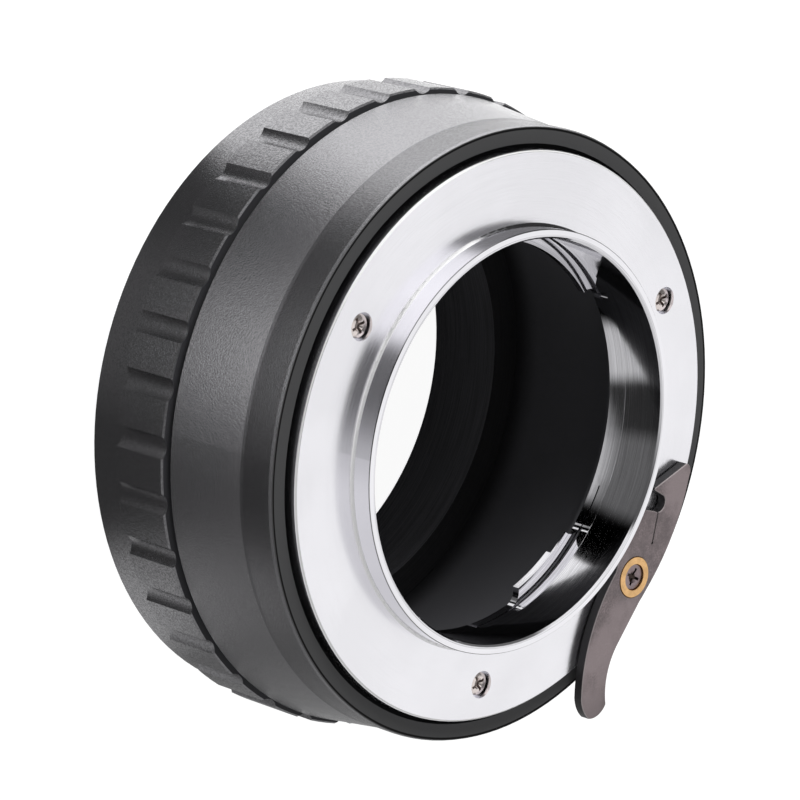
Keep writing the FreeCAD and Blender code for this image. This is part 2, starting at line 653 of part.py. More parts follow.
def make_lock_lever():
    blank = Part.Face(lever_outline()).extrude(FreeCAD.Vector(0, 0, LEVER_THICKNESS))
    corners = [edge for edge in blank.Edges if edge.BoundBox.ZLength > LEVER_THICKNESS / 2]
    blank = blank.makeFillet(LEVER_CORNER_RADIUS, corners)
    top_edges = [edge for edge in blank.Edges if edge.BoundBox.ZMin > LEVER_THICKNESS / 2]
    blank = blank.makeChamfer(LEVER_EDGE_CHAMFER, top_edges)
    bore_radius = BUSH_RADIUS + PRESS_CLEARANCE
    bore = turned([
        (0, -OVERCUT),
        (bore_radius, -OVERCUT),
        (bore_radius, LEVER_THICKNESS - LEVER_BORE_CHAMFER),
        (bore_radius + LEVER_BORE_CHAMFER, LEVER_THICKNESS),
        (bore_radius + LEVER_BORE_CHAMFER, LEVER_THICKNESS + OVERCUT),
        (0, LEVER_THICKNESS + OVERCUT),
    ])
    slit = lever_slit()
    slit.translate(FreeCAD.Vector(0, 0, -OVERCUT))
    lever = blank.cut([bore, slit, spring_tip_slot()])
    lever.translate(FreeCAD.Vector(0, 0, lever_foot))
    return place_in_lever(lever)


def make_lever_bush():
    bore = PIVOT_SHOULDER_RADIUS + RUNNING_CLEARANCE
    bush = turned([
        (bore, plate_top + BUSH_FOOT_GAP),
        (BUSH_RADIUS, plate_top + BUSH_FOOT_GAP),
        (BUSH_RADIUS, bush_top),
        (PIVOT_WELL_RADIUS, bush_top),
        (PIVOT_WELL_RADIUS, bush_well_floor),
        (bore, bush_well_floor),
    ])
    return place_in_lever(bush)


def make_lever_pivot_screw():
    seat = bush_well_floor + RUNNING_CLEARANCE
    screw = turned([
        (0, pocket_floor - PIVOT_THREAD_LENGTH),
        (PIVOT_THREAD_RADIUS, pocket_floor - PIVOT_THREAD_LENGTH),
        (PIVOT_THREAD_RADIUS, pocket_floor),
        (PIVOT_SHOULDER_RADIUS, pocket_floor),
        (PIVOT_SHOULDER_RADIUS, seat),
        (PIVOT_HEAD_RADIUS, seat),
        (PIVOT_HEAD_RADIUS, seat + PIVOT_HEAD_HEIGHT),
        (0, seat + PIVOT_HEAD_HEIGHT),
    ])
    cutter = cross_recess(PIVOT_HEAD_RADIUS, PIVOT_HEAD_HEIGHT, PIVOT_CROSS_TURN)
    cutter.translate(FreeCAD.Vector(0, 0, seat + PIVOT_HEAD_HEIGHT))
    return place_in_lever(screw.cut(cutter))


def make_lever_spring():
    """Ring spring of one turn: foot in the plate, coil, straight arm and tip in the lever."""
    section = Part.Face(Part.Wire(Part.makeCircle(
        SPRING_WIRE_RADIUS, FreeCAD.Vector(SPRING_COIL_RADIUS, 0, spring_level), FreeCAD.Vector(0, 1, 0))))
    coil = section.revolve(ORIGIN, AXIS, -SPRING_TURN)
    foot_place = spring_foot_place()
    foot = post(SPRING_WIRE_RADIUS, pocket_floor - SPRING_FOOT_LENGTH, spring_level, foot_place)
    arm_start = FreeCAD.Vector(SPRING_COIL_RADIUS, 0, spring_level)
    arm_end = FreeCAD.Vector(SPRING_COIL_RADIUS, SPRING_ARM_LENGTH, spring_level)
    arm = Part.makeCylinder(SPRING_WIRE_RADIUS, SPRING_ARM_LENGTH, arm_start, FreeCAD.Vector(0, 1, 0))
    tip = post(SPRING_WIRE_RADIUS, spring_level, lever_foot + SPRING_TIP_REACH, arm_end)
    bends = [Part.makeSphere(SPRING_WIRE_RADIUS, place) for place in (foot_place, arm_end)]
    return place_in_lever(coil.fuse([foot, arm, tip] + bends))


def make_lens_index_dot():
    floor = RIM_BAND_RADIUS - DOT_DIMPLE_DEPTH
    return radial_post(DOT_RADIUS, floor, floor + DOT_THICKNESS, DOT_ANGLE, rim_top - LENS_DOT_DROP)


def make_camera_index_dot():
    floor = foot_slope_radius(CAMERA_DOT_HEIGHT) - DOT_DIMPLE_DEPTH
    return radial_post(DOT_RADIUS, floor, floor + DOT_THICKNESS, DOT_ANGLE, CAMERA_DOT_HEIGHT)


def all_nodes():
    nodes = {
        "lens_mount_plate": make_lens_mount_plate(),
        "front_barrel": make_front_barrel(),
        "rear_barrel": make_rear_barrel(),
        "camera_mount_plate": make_camera_mount_plate(),
        "light_baffle": make_light_baffle(),
        "lock_lever": make_lock_lever(),
        "lever_bush": make_lever_bush(),
        "lever_pivot_screw": make_lever_pivot_screw(),
        "lever_spring": make_lever_spring(),
        "lens_index_dot": make_lens_index_dot(),
        "camera_index_dot": make_camera_index_dot(),
    }
    for number, angle in enumerate(plate_screw_angles(), 1):
        nodes["lens_plate_screw_%d" % number] = make_plate_screw(angle)
    for number, angle in enumerate(camera_screw_angles(), 1):
        nodes["camera_plate_screw_%d" % number] = make_camera_screw(angle)
    return nodes


os.makedirs("parts", exist_ok=True)
for name, shape in all_nodes().items():
    shape.exportStep("parts/%s.step" % name)
    print(name, "solids", len(shape.Solids), "valid", shape.isValid(), "volume %.2f" % shape.Volume)
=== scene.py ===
import math

import bpy
from mathutils import Matrix, Vector


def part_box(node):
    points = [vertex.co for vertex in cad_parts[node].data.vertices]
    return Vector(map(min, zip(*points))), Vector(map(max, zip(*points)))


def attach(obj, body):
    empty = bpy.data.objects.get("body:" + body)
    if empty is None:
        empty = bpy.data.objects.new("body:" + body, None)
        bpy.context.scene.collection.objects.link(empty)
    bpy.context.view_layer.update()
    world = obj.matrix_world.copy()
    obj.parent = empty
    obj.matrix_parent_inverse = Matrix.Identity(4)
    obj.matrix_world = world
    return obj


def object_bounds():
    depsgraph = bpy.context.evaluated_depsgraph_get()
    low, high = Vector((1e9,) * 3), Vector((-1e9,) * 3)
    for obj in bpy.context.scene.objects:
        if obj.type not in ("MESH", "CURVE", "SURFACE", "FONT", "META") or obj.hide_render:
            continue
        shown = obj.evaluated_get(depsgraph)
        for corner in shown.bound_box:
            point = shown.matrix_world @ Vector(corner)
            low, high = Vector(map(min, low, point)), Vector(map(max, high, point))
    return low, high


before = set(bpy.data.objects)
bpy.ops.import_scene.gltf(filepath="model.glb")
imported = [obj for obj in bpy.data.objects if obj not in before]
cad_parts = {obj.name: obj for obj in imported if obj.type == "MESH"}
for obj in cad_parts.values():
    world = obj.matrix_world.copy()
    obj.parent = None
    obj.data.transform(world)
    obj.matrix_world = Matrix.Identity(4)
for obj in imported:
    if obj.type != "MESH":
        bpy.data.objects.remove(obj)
CAD_BOX = [list(corner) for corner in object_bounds()]

bl_info = {
    "name": "Lens mount adapter",
    "version": (1, 0, 0),
    "blender": (4, 5, 0),
    "location": "View3D > Sidebar > Adapter",
    "description": "Finishes, baffle ridges and studio of a lens mount adapter",
    "category": "Object",
}

MM = 0.001


def top_of(name):
    """Height in millimetres of the top of a CAD node."""
    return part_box(name)[1][2] / MM


# Heights on the CAD: the foot in metres, the others in millimetres
FOOT_HEIGHT = CAD_BOX[0][2]
LENS_SEAT = top_of("lens_mount_plate")
LEVER_TOP = top_of("lock_lever")
PIVOT_HEAD = top_of("lever_pivot_screw")
SCREW_HEAD = top_of("lens_plate_screw_1")
RIM_TOP = top_of("front_barrel")
RING_TOP = top_of("rear_barrel")
BAFFLE_TOP = top_of("light_baffle")

# Ranges of radius in millimetres. A mark lies in its range, and a START or END is a soft change.
BORE_END = (21.15, 21.25)
LIP_BROW = (21.67, 21.80)
LIP_FILLET = (21.70, 21.97)
HUB_START = (21.86, 22.02)
BARREL_OUTSIDE_START = (28.2, 28.6)
PLATE_CREST = (29.15, 29.27)
PLATE_TRENCH_END = (29.85, 29.92)
LEVER_TAIL = (29.5, 36.0)
RIM_LINE = (31.22, 31.42)
RIM_EDGE = (31.42, 31.62)
GRIP_LAND_START = (33.15, 33.25)

# Ranges of height in millimetres
RIM_WEAR_START = (24.85, 25.05)
GRIP_FOOT_EDGE = (4.97, 5.13)
BROW_HEIGHT = (LENS_SEAT - 0.085, LENS_SEAT - 0.005)
FILLET_END = (LENS_SEAT - 2.14, LENS_SEAT - 1.98)
FACE_START = (RIM_TOP - 0.06, RIM_TOP - 0.02)
RIM_BAND = (RIM_TOP - 4.32, RIM_TOP - 0.35)
RIM_BAND_AND_BEVEL = (RIM_TOP - 4.32, RIM_TOP - 0.05)
RING_GAP = (RING_TOP - 0.02, RING_TOP + 0.55)
RING_END = (RING_TOP - 0.1, RING_TOP + 0.3)
BAFFLE_SHADE = (BAFFLE_TOP, BAFFLE_TOP + 3.5)
BAFFLE_LEDGE = (BAFFLE_TOP - 0.05, BAFFLE_TOP - 0.01)

# Ranges of radius on the floor, in millimetres
FLOOR_UNDER_END = (27.0, 31.0)
FLOOR_CLOSE_END = (46.0, 54.0)
FLOOR_MIDDLE = (49.0, 61.0)
FLOOR_FAR_START = (68.0, 71.0)
BORE_FRONT_FADE = (11.5, 15.5)
BORE_SIDE_FADE = (13.2, 15.5)

# Ranges of y in millimetres
FILLET_SHADE_END = (-21.0, -20.2)
RIM_SHADE = (-25.0, 10.0)

# Lamps that shiny faces see on the floor and on the walls: ranges of direction in degrees
KEY_LAMP = (-141.0, -71.0)
KEY_LAMP_RISE = (-112.0, -85.0)
SIDE_LAMP = (-34.0, -2.0)
THIN_LAMP = (-58.0, -36.0)
LOW_LAMP = (35.0, 64.0)
LOW_LAMP_TAIL = (60.0, 80.0)
LOW_LAMP_END = (84.0, 104.0)
BORE_LAMP = (-142.0, -98.0)
BORE_FRONT_LAMP = (-52.0, 18.0)
BORE_SIDE_LAMP = (18.0, 66.0)
BORE_BACK_LAMP = (64.0, 106.0)
KEY_WALL = (-118.0, -48.0)
SIDE_WALL = (-18.0, 38.0)
BACK_WALL = (120.0, 150.0)
LOW_WALL = (-172.0, -118.0)

# The height of a direction above which shiny faces see an even white ceiling
CEILING_START = (0.82, 0.95)

# The two soft lamps: their places and sizes in metres, and the point that they look at
KEY_PLACE = (0.05, -0.62, 0.18)
KEY_SIZE = 0.50
FILL_PLACE = (0.15, 0.60, 0.35)
FILL_SIZE = 0.40
LAMP_TARGET = (0.0, 0.0, 0.01)

# The camera of the photograph: its place in metres, its axes and its lens in millimetres
CAMERA_PLACE = (0.32748, -0.08894, 0.32243)
CAMERA_RIGHT = (-0.69898, -0.09328, 0.70902)
CAMERA_UP = (-0.07261, -0.97708, -0.20014)
CAMERA_BACK = (0.71144, -0.19138, 0.67619)
CAMERA_LENS = 201.71
CAMERA_SENSOR = 36.0


# Sizes and colours that a user would change

class AdapterFinishes(bpy.types.PropertyGroup):
    chrome_colour: bpy.props.FloatVectorProperty(
        name="Chrome colour", description="Reflected colour of the satin chrome",
        subtype="COLOR", size=3, min=0.0, max=1.0, default=(0.95, 0.943, 0.98))
    chrome_roughness: bpy.props.FloatProperty(
        name="Chrome roughness", description="Roughness of the turned chrome faces",
        subtype="FACTOR", min=0.05, max=0.9, default=0.22)
    lip_roughness: bpy.props.FloatProperty(
        name="Lip roughness", description="Roughness of the polished lip and bore",
        subtype="FACTOR", min=0.02, max=0.9, default=0.05)
    black_colour: bpy.props.FloatVectorProperty(
        name="Anodised colour", description="Colour of the blasted and anodised barrels",
        subtype="COLOR", size=3, min=0.0, max=1.0, default=(0.008, 0.008, 0.0086))
    grain_depth: bpy.props.FloatProperty(
        name="Grain depth", description="Depth of the blasted grain on the barrels",
        subtype="DISTANCE", unit="LENGTH", min=0.0, max=0.0002, default=0.00007, precision=6)
    inside_colour: bpy.props.FloatVectorProperty(
        name="Inside colour", description="Colour of the matt black inside",
        subtype="COLOR", size=3, min=0.0, max=1.0, default=(0.128, 0.128, 0.138))
    lever_colour: bpy.props.FloatVectorProperty(
        name="Lever colour", description="Colour of the lever's flat face",
        subtype="COLOR", size=3, min=0.0, max=1.0, default=(0.275, 0.226, 0.232))
    brass_colour: bpy.props.FloatVectorProperty(
        name="Brass colour", description="Colour of the turned bush",
        subtype="COLOR", size=3, min=0.0, max=1.0, default=(0.92, 0.57, 0.26))
    screw_colour: bpy.props.FloatVectorProperty(
        name="Screw colour", description="Colour of the bright screws",
        subtype="COLOR", size=3, min=0.0, max=1.0, default=(0.95, 0.86, 0.83))
    dust: bpy.props.FloatProperty(
        name="Dust", description="Share of the small cells that hold a speck of dust",
        subtype="FACTOR", min=0.0, max=0.2, default=0.03)


class AdapterRidges(bpy.types.PropertyGroup):
    bore_radius: bpy.props.FloatProperty(
        name="Bore radius", description="Radius of the bore that the ridges stand in",
        subtype="DISTANCE", unit="LENGTH", default=0.0235, precision=5)
    pitch: bpy.props.FloatProperty(
        name="Pitch", description="Distance from one ridge to the next",
        subtype="DISTANCE", unit="LENGTH", default=0.00055, precision=5)
    height: bpy.props.FloatProperty(
        name="Height", description="How far a ridge stands out of the bore",
        subtype="DISTANCE", unit="LENGTH", default=0.00007, precision=5)
    steps: bpy.props.IntProperty(
        name="Steps", description="Straight steps round one ridge", min=48, max=360, default=168)


class AdapterStudio(bpy.types.PropertyGroup):
    floor_radius: bpy.props.FloatProperty(
        name="Floor radius", description="Radius of the pale floor",
        subtype="DISTANCE", unit="LENGTH", default=1.2)
    room_level: bpy.props.FloatProperty(
        name="Room level", description="Strength of the even light from all sides",
        min=0.0, max=2.0, default=0.35)
    key_level: bpy.props.FloatProperty(
        name="Key level", description="Brightness of the large soft lamp beside the adapter",
        min=0.0, max=20.0, default=6.0)
    fill_level: bpy.props.FloatProperty(
        name="Fill level", description="Brightness of the soft lamp on the other side",
        min=0.0, max=20.0, default=2.0)


# Materials

class Value:
    """One value in a material. An expression on values adds its Math nodes."""

    def __init__(self, finish, socket):
        self.finish = finish
        self.socket = socket

    def math(self, operation, first, second=0.0):
        return self.finish.math(operation, first, second)

    def __add__(self, other):
        return self.math("ADD", self, other)

    def __radd__(self, other):
        return self.math("ADD", other, self)

    def __sub__(self, other):
        return self.math("SUBTRACT", self, other)

    def __rsub__(self, other):
        return self.math("SUBTRACT", other, self)

    def __mul__(self, other):
        return self.math("MULTIPLY", self, other)

    def __rmul__(self, other):
        return self.math("MULTIPLY", other, self)

    def __truediv__(self, other):
        return self.math("DIVIDE", self, other)

    def root(self):
        return self.math("SQRT", self)

    def above(self, edge):
        return self.math("GREATER_THAN", self, edge)

    def below(self, edge):
        return self.math("LESS_THAN", self, edge)


class Shading:
    """A node tree of a material or of the world."""

    def __init__(self, tree):
        self.tree = tree
        self.tree.nodes.clear()

    def node(self, kind, settings=None, sockets=None, output=0):
        """Adds one node: settings first, then socket values or links. Gives one of its outputs."""
        node = self.tree.nodes.new(kind)
        for key, setting in (settings or {}).items():
            setattr(node, key, setting)
        for key, entry in (sockets or {}).items():
            if isinstance(entry, Value):
                self.tree.links.new(entry.socket, node.inputs[key])
            else:
                node.inputs[key].default_value = entry
        return Value(self, node.outputs[output]) if len(node.outputs) else None

    def math(self, operation, first, second=0.0):
        return self.node("ShaderNodeMath", {"operation": operation}, {0: first, 1: second})

    def spread(self, value, low, high, first=0.0, last=1.0):
        """Eases a value from first to last while it goes from low to high."""
        return self.node("ShaderNodeMapRange", {"interpolation_type": "SMOOTHSTEP"}, {
            "Value": value, "From Min": low, "From Max": high, "To Min": first, "To Max": last})

    def band(self, value, low, high, soft):
        """1 where a value lies between low and high, with soft edges."""
        rise = self.spread(value, low - soft, low + soft)
        return rise * self.spread(value, high - soft, high + soft, 1.0, 0.0)

    def blend_value(self, factor, first, second):
        return self.node("ShaderNodeMix", {"data_type": "FLOAT"}, {0: factor, 2: first, 3: second})

    def parts(self, place):
        """The x, y and z of a place or of a direction."""
        return [self.node("ShaderNodeSeparateXYZ", None, {0: place}, axis) for axis in "XYZ"]

    def turn(self, x, y):
        """The direction round the optical axis, in degrees from +X towards +Y."""
        return self.math("ARCTAN2", y, x) * (180.0 / math.pi)

    def ray(self, kind):
        """1 for the rays of one kind, such as those that a shiny face sends out."""
        return self.node("ShaderNodeLightPath", output="Is %s Ray" % kind)


class Finish(Shading):
    """The node tree of one material, with the places in millimetres that its patterns need."""

    def __init__(self, name):
        self.material = bpy.data.materials.new(name)
        self.material.use_nodes = True
        super().__init__(self.material.node_tree)
        place = self.node("ShaderNodeTexCoord", output="Object")
        self.place = self.node("ShaderNodeVectorMath", {"operation": "SCALE"}, {
            0: place, "Scale": 1.0 / MM})
        self.x, self.y, self.z = self.parts(self.place)
        self.radius = (self.x * self.x + self.y * self.y).root()

    def noise(self, place, scale, detail=2.0, roughness=0.5):
        return self.node("ShaderNodeTexNoise", None,
                         {"Vector": place, "Scale": scale, "Detail": detail, "Roughness": roughness})

    def round_place(self, along, across):
        """A place that runs slowly round the optical axis and quickly across it."""
        return self.node("ShaderNodeCombineXYZ", None, {
            "X": self.x / self.radius * along,
            "Y": self.y / self.radius * along,
            "Z": (self.radius + self.z * 1.37) * across,
        })

    def blend(self, factor, first, second):
        return self.node("ShaderNodeMix", {"data_type": "RGBA"}, {0: factor, 6: first, 7: second}, 2)

    def specks(self, spacing, size, share):
        """1 on a few small specks that lie about at random."""
        settings = {"voronoi_dimensions": "3D", "feature": "F1"}
        sockets = {"Vector": self.place, "Scale": 1.0 / spacing}
        near = self.node("ShaderNodeTexVoronoi", settings, sockets, "Distance")
        tint = self.node("ShaderNodeTexVoronoi", settings, sockets, "Color")
        pick = self.node("ShaderNodeSeparateColor", None, {0: tint}, "Red")
        return near.below(size / spacing) * pick.above(1.0 - share)

    def bump(self, height, distance, strength=1.0):
        return self.node("ShaderNodeBump", None, {
            "Height": height, "Distance": distance, "Strength": strength})

    def shader(self, sockets):
        return self.node("ShaderNodeBsdfPrincipled", None, sockets)

    def surface(self, shader):
        """Ends the tree and gives the material."""
        self.node("ShaderNodeOutputMaterial", None, {"Surface": shader})
        return self.material


def opaque(colour, level=1.0):
    return (colour[0] * level, colour[1] * level, colour[2] * level, 1.0)


def grey(level):
    return (level, level, level, 1.0)


def satin_chrome(settings):
    """Satin on the flat face, and close to a mirror on the lip and in the bore, with painted shade and
    painted highlight lines at the lip and the plate's crest.
    """
    finish = Finish("satin_chrome")
    lines = finish.noise(finish.round_place(3.0, 9.0), 1.0, 3.0, 0.6)
    fine = finish.noise(finish.round_place(9.0, 26.0), 1.0, 2.0, 0.55)
    cloud = finish.noise(finish.place, 0.09, 3.0, 0.5)
    brush = finish.spread(lines, 0.3, 0.7)
    flat = finish.spread(finish.radius, *HUB_START)
    bore = finish.spread(finish.radius, *BORE_END, 1.0, 0.0)
    tone = finish.blend(finish.spread(cloud, 0.35, 0.65), opaque(settings.chrome_colour, 0.95),
                        opaque(settings.chrome_colour, 1.0))
    tone = finish.blend(finish.specks(2.6, 0.07, settings.dust), tone, (0.25, 0.24, 0.24, 1.0))
    satin = settings.chrome_roughness + (brush - 0.5) * 0.08 + (fine - 0.5) * 0.06
    polished = settings.lip_roughness + brush * 0.05
    streaks = finish.spread(finish.noise(finish.round_place(2.6, 18.0), 1.0, 4.0, 0.7), 0.36, 0.64)
    tone = finish.blend(bore * (1.0 - streaks) * 0.62, tone, opaque(settings.chrome_colour, 0.45))
    # Painted shade: a dark line on the lip's top chamfer, and the lip's foot fillet painted dark on the
    # side towards -y
    painted_brow_shade = finish.band(finish.z, *BROW_HEIGHT, 0.01) * finish.band(finish.radius, *LIP_BROW, 0.01)
    fillet = finish.band(finish.radius, *LIP_FILLET, 0.02)
    fillet = fillet * finish.spread(finish.z, *FILLET_END, 1.0, 0.0)
    shaded = finish.spread(finish.y, *FILLET_SHADE_END, 1.0, 0.0)
    tone = finish.blend(painted_brow_shade * 0.75 + fillet * shaded * 0.85, tone, (0.03, 0.03, 0.032, 1.0))
    # Painted highlight: a white, not metallic line on the plate's crest and on the lip's foot fillet away
    # from the shaded side
    painted_crest_highlight = finish.band(finish.radius, *PLATE_CREST, 0.012) + fillet * (1.0 - shaded) * 0.9
    tone = finish.blend(painted_crest_highlight, tone, grey(0.95))
    return finish.surface(finish.shader({
        "Base Color": tone,
        "Metallic": 1.0 - painted_crest_highlight * 0.9,
        "Roughness": flat * satin + (1.0 - flat) * polished,
        "Anisotropic": 0.3,
        "Anisotropic Rotation": 0.25,
        "Normal": finish.bump((lines * 0.6 + fine * 0.4) * flat, 0.000004, 0.5),
    }))


def black_anodised(settings):
    """Blasted and anodised outside, matt black inside, with a little wear on the rim."""
    finish = Finish("black_anodised")
    grain = finish.noise(finish.place, 4.6, 3.0, 0.7)
    fine = finish.noise(finish.place, 9.0, 2.0, 0.6)
    cloud = finish.noise(finish.place, 0.12, 2.0, 0.5)
    level = finish.spread(grain, 0.32, 0.68)
    ring = finish.spread(finish.z, *RING_END, 1.0, 0.0)
    pale = finish.blend(ring, opaque(settings.black_colour, 4.4), opaque(settings.black_colour, 4.0))
    tone = finish.blend(level, grey(0.0), pale)
    rim = finish.band(finish.radius, *RIM_EDGE, 0.05) * finish.spread(finish.z, *RIM_WEAR_START)
    worn = rim * finish.spread(finish.noise(finish.place, 2.6, 4.0, 0.75), 0.60, 0.74)
    worn = worn * finish.spread(finish.noise(finish.place, 0.10, 1.0, 0.5), 0.48, 0.58)
    edge = finish.band(finish.z, *GRIP_FOOT_EDGE, 0.03)
    edge = edge * finish.spread(finish.radius, *GRIP_LAND_START)
    worn = worn + edge * finish.spread(finish.noise(finish.place, 1.8, 3.0, 0.7), 0.50, 0.60) * 0.5
    tone = finish.blend(worn * 0.4, tone, grey(0.30))
    tone = finish.blend(finish.specks(2.4, 0.075, settings.dust), tone, grey(0.42))
    outer = finish.shader({
        "Base Color": tone,
        "Roughness": finish.spread(cloud, 0.3, 0.7, 0.17, 0.20) + (level - 0.5) * 0.07,
        "IOR": 1.98,
        "Specular IOR Level": 1.0,
        "Specular Tint": (0.97, 0.96, 1.0, 1.0),
        "Normal": finish.bump(grain * 0.6 + fine * 0.4, settings.grain_depth, 1.0),
    })
    outside = finish.spread(finish.radius, *BARREL_OUTSIDE_START)
    shaded = finish.spread(finish.z, *BAFFLE_SHADE, 0.25, 1.0)
    wall = finish.blend(shaded, grey(0.0), opaque(settings.inside_colour))
    # Painted shade: a near-black line just inside the rim's edge
    line = finish.band(finish.radius, *RIM_LINE, 0.03)
    on_face = finish.spread(finish.z, *FACE_START)
    trench = finish.spread(finish.radius, *PLATE_TRENCH_END, 1.0, 0.0)
    face_tone = finish.blend(on_face, opaque(settings.black_colour, 1.5), (0.092, 0.092, 0.094, 1.0))
    # Painted light: the ring's top face in the gap below the cone is painted a lighter matt grey than the
    # anodising
    ring_gap_painted_light = finish.band(finish.z, *RING_GAP, 0.01)
    matt = finish.blend(line, finish.blend(outside, wall, face_tone), grey(0.002))
    inner = finish.shader({
        "Base Color": finish.blend(ring_gap_painted_light * outside, matt, (0.055, 0.055, 0.060, 1.0)),
        "Roughness": 0.75,
        "Specular IOR Level": 0.15,
    })
    grit = finish.spread(finish.noise(finish.place, 4.6, 2.0, 0.7), 0.38, 0.66)
    # The mix towards the matt shader: grit and the rim band's duller finish, and painted shade that
    # darkens the rim band and bevel on one side, within the y of RIM_SHADE
    rim_shade = finish.band(finish.z, *RIM_BAND_AND_BEVEL, 0.02) * finish.band(finish.y, *RIM_SHADE, 3.0)
    dullness_and_painted_shade = grit * (0.14 + ring * 0.26) + finish.band(finish.z, *RIM_BAND, 0.02) * 0.28 + rim_shade * 0.16
    shiny = outside * (1.0 - on_face) * (1.0 - ring_gap_painted_light) * (1.0 - trench) * (1.0 - dullness_and_painted_shade)
    return finish.surface(finish.node("ShaderNodeMixShader", None, {0: shiny, 1: inner, 2: outer}))


def matt_black(settings):
    finish = Finish("matt_black")
    grain = finish.noise(finish.place, 5.0, 2.0, 0.5)
    turned = finish.noise(finish.round_place(2.0, 6.0), 1.0, 2.0, 0.5)
    tone = finish.blend(finish.spread(turned, 0.3, 0.7), opaque(settings.inside_colour, 0.8),
                        opaque(settings.inside_colour, 1.25))
    # Painted shade: the top face of the baffle is painted near black
    painted_ledge_shade = finish.spread(finish.z, *BAFFLE_LEDGE)
    tone = finish.blend(painted_ledge_shade * 0.8, tone, grey(0.0))
    tone = finish.blend(finish.specks(3.2, 0.06, settings.dust), tone, grey(0.12))
    return finish.surface(finish.shader({
        "Base Color": tone,
        "Roughness": finish.spread(grain, 0.3, 0.7, 0.66, 0.76),
        "Specular IOR Level": 0.3,
        "Normal": finish.bump(grain * 0.5 + turned * 0.5, 0.000008, 1.0),
    }))


def lever_steel(settings):
    finish = Finish("lever_steel")
    mottle = finish.noise(finish.place, 0.75, 5.0, 0.7)
    cloud = finish.noise(finish.place, 0.16, 3.0, 0.55)
    grain = finish.noise(finish.place, 4.4, 3.0, 0.7)
    side = finish.spread(finish.z, LEVER_TOP - 0.12, LEVER_TOP - 0.08, 1.0, 0.0)
    # Painted highlight: a lighter line along the top edge of the lever
    edge = finish.band(finish.z, LEVER_TOP - 0.09, LEVER_TOP - 0.008, 0.004)
    tone = finish.blend(finish.spread(mottle, 0.32, 0.68), opaque(settings.lever_colour, 0.68),
                        opaque(settings.lever_colour, 1.22))
    tone = finish.blend(finish.spread(grain, 0.36, 0.64) * 0.7, tone, opaque(settings.lever_colour, 0.60))
    tone = finish.blend(finish.spread(cloud, 0.42, 0.62) * 0.7, tone, opaque(settings.lever_colour, 1.45))
    # Darker towards the lever's outer end
    darker_outwards = finish.spread(finish.radius, *LEVER_TAIL)
    tone = finish.blend(darker_outwards * 0.6, tone, opaque(settings.lever_colour, 0.6))
    tone = finish.blend(edge * 0.7, tone, (0.46, 0.42, 0.42, 1.0))
    tone = finish.blend(side, tone, (0.035, 0.034, 0.036, 1.0))
    return finish.surface(finish.shader({
        "Base Color": tone,
        "Metallic": 0.35,
        "Roughness": finish.spread(mottle, 0.3, 0.7, 0.42, 0.52),
        "Normal": finish.bump(grain, 0.000006, 1.0),
    }))


def turned_metal(name, colour, roughness, recess=-100.0, recess_shade=0.75):
    """Turned piece with fine tool marks, tarnish, and painted shade below the recess height in
    millimetres.
    """
    finish = Finish(name)
    marks = finish.noise(finish.place, 4.0, 3.0, 0.6)
    tarnish = finish.noise(finish.place, 0.9, 3.0, 0.6)
    tone = finish.blend(finish.spread(tarnish, 0.35, 0.68), opaque(colour, 0.8), opaque(colour))
    # Painted shade: dark brown below the recess height, such as in the cross recess of a screw head
    deep = finish.spread(finish.z, recess - 0.06, recess + 0.02, 1.0, 0.0)
    tone = finish.blend(deep * recess_shade, tone, (0.040, 0.028, 0.022, 1.0))
    return finish.surface(finish.shader({
        "Base Color": tone,
        "Metallic": 1.0,
        "Roughness": finish.spread(marks, 0.3, 0.7, roughness - 0.04, roughness + 0.06),
        "Normal": finish.bump(marks, 0.000006, 1.0),
    }))


def index_enamel():
    finish = Finish("index_enamel")
    wave = finish.noise(finish.place, 1.5, 2.0, 0.5)
    tone = finish.blend(finish.spread(wave, 0.3, 0.7), (0.66, 0.66, 0.63, 1.0), (0.76, 0.76, 0.74, 1.0))
    return finish.surface(finish.shader({
        "Base Color": tone,
        "Roughness": finish.spread(wave, 0.3, 0.7, 0.26, 0.34),
        "Normal": finish.bump(wave, 0.00001, 1.0),
    }))


def dress(material, *names):
    """Gives a material to CAD nodes, whose shapes stay as they are."""
    for name in names:
        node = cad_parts[name]
        for place in node.material_slots:
            place.material = material


# Ridges inside the baffle

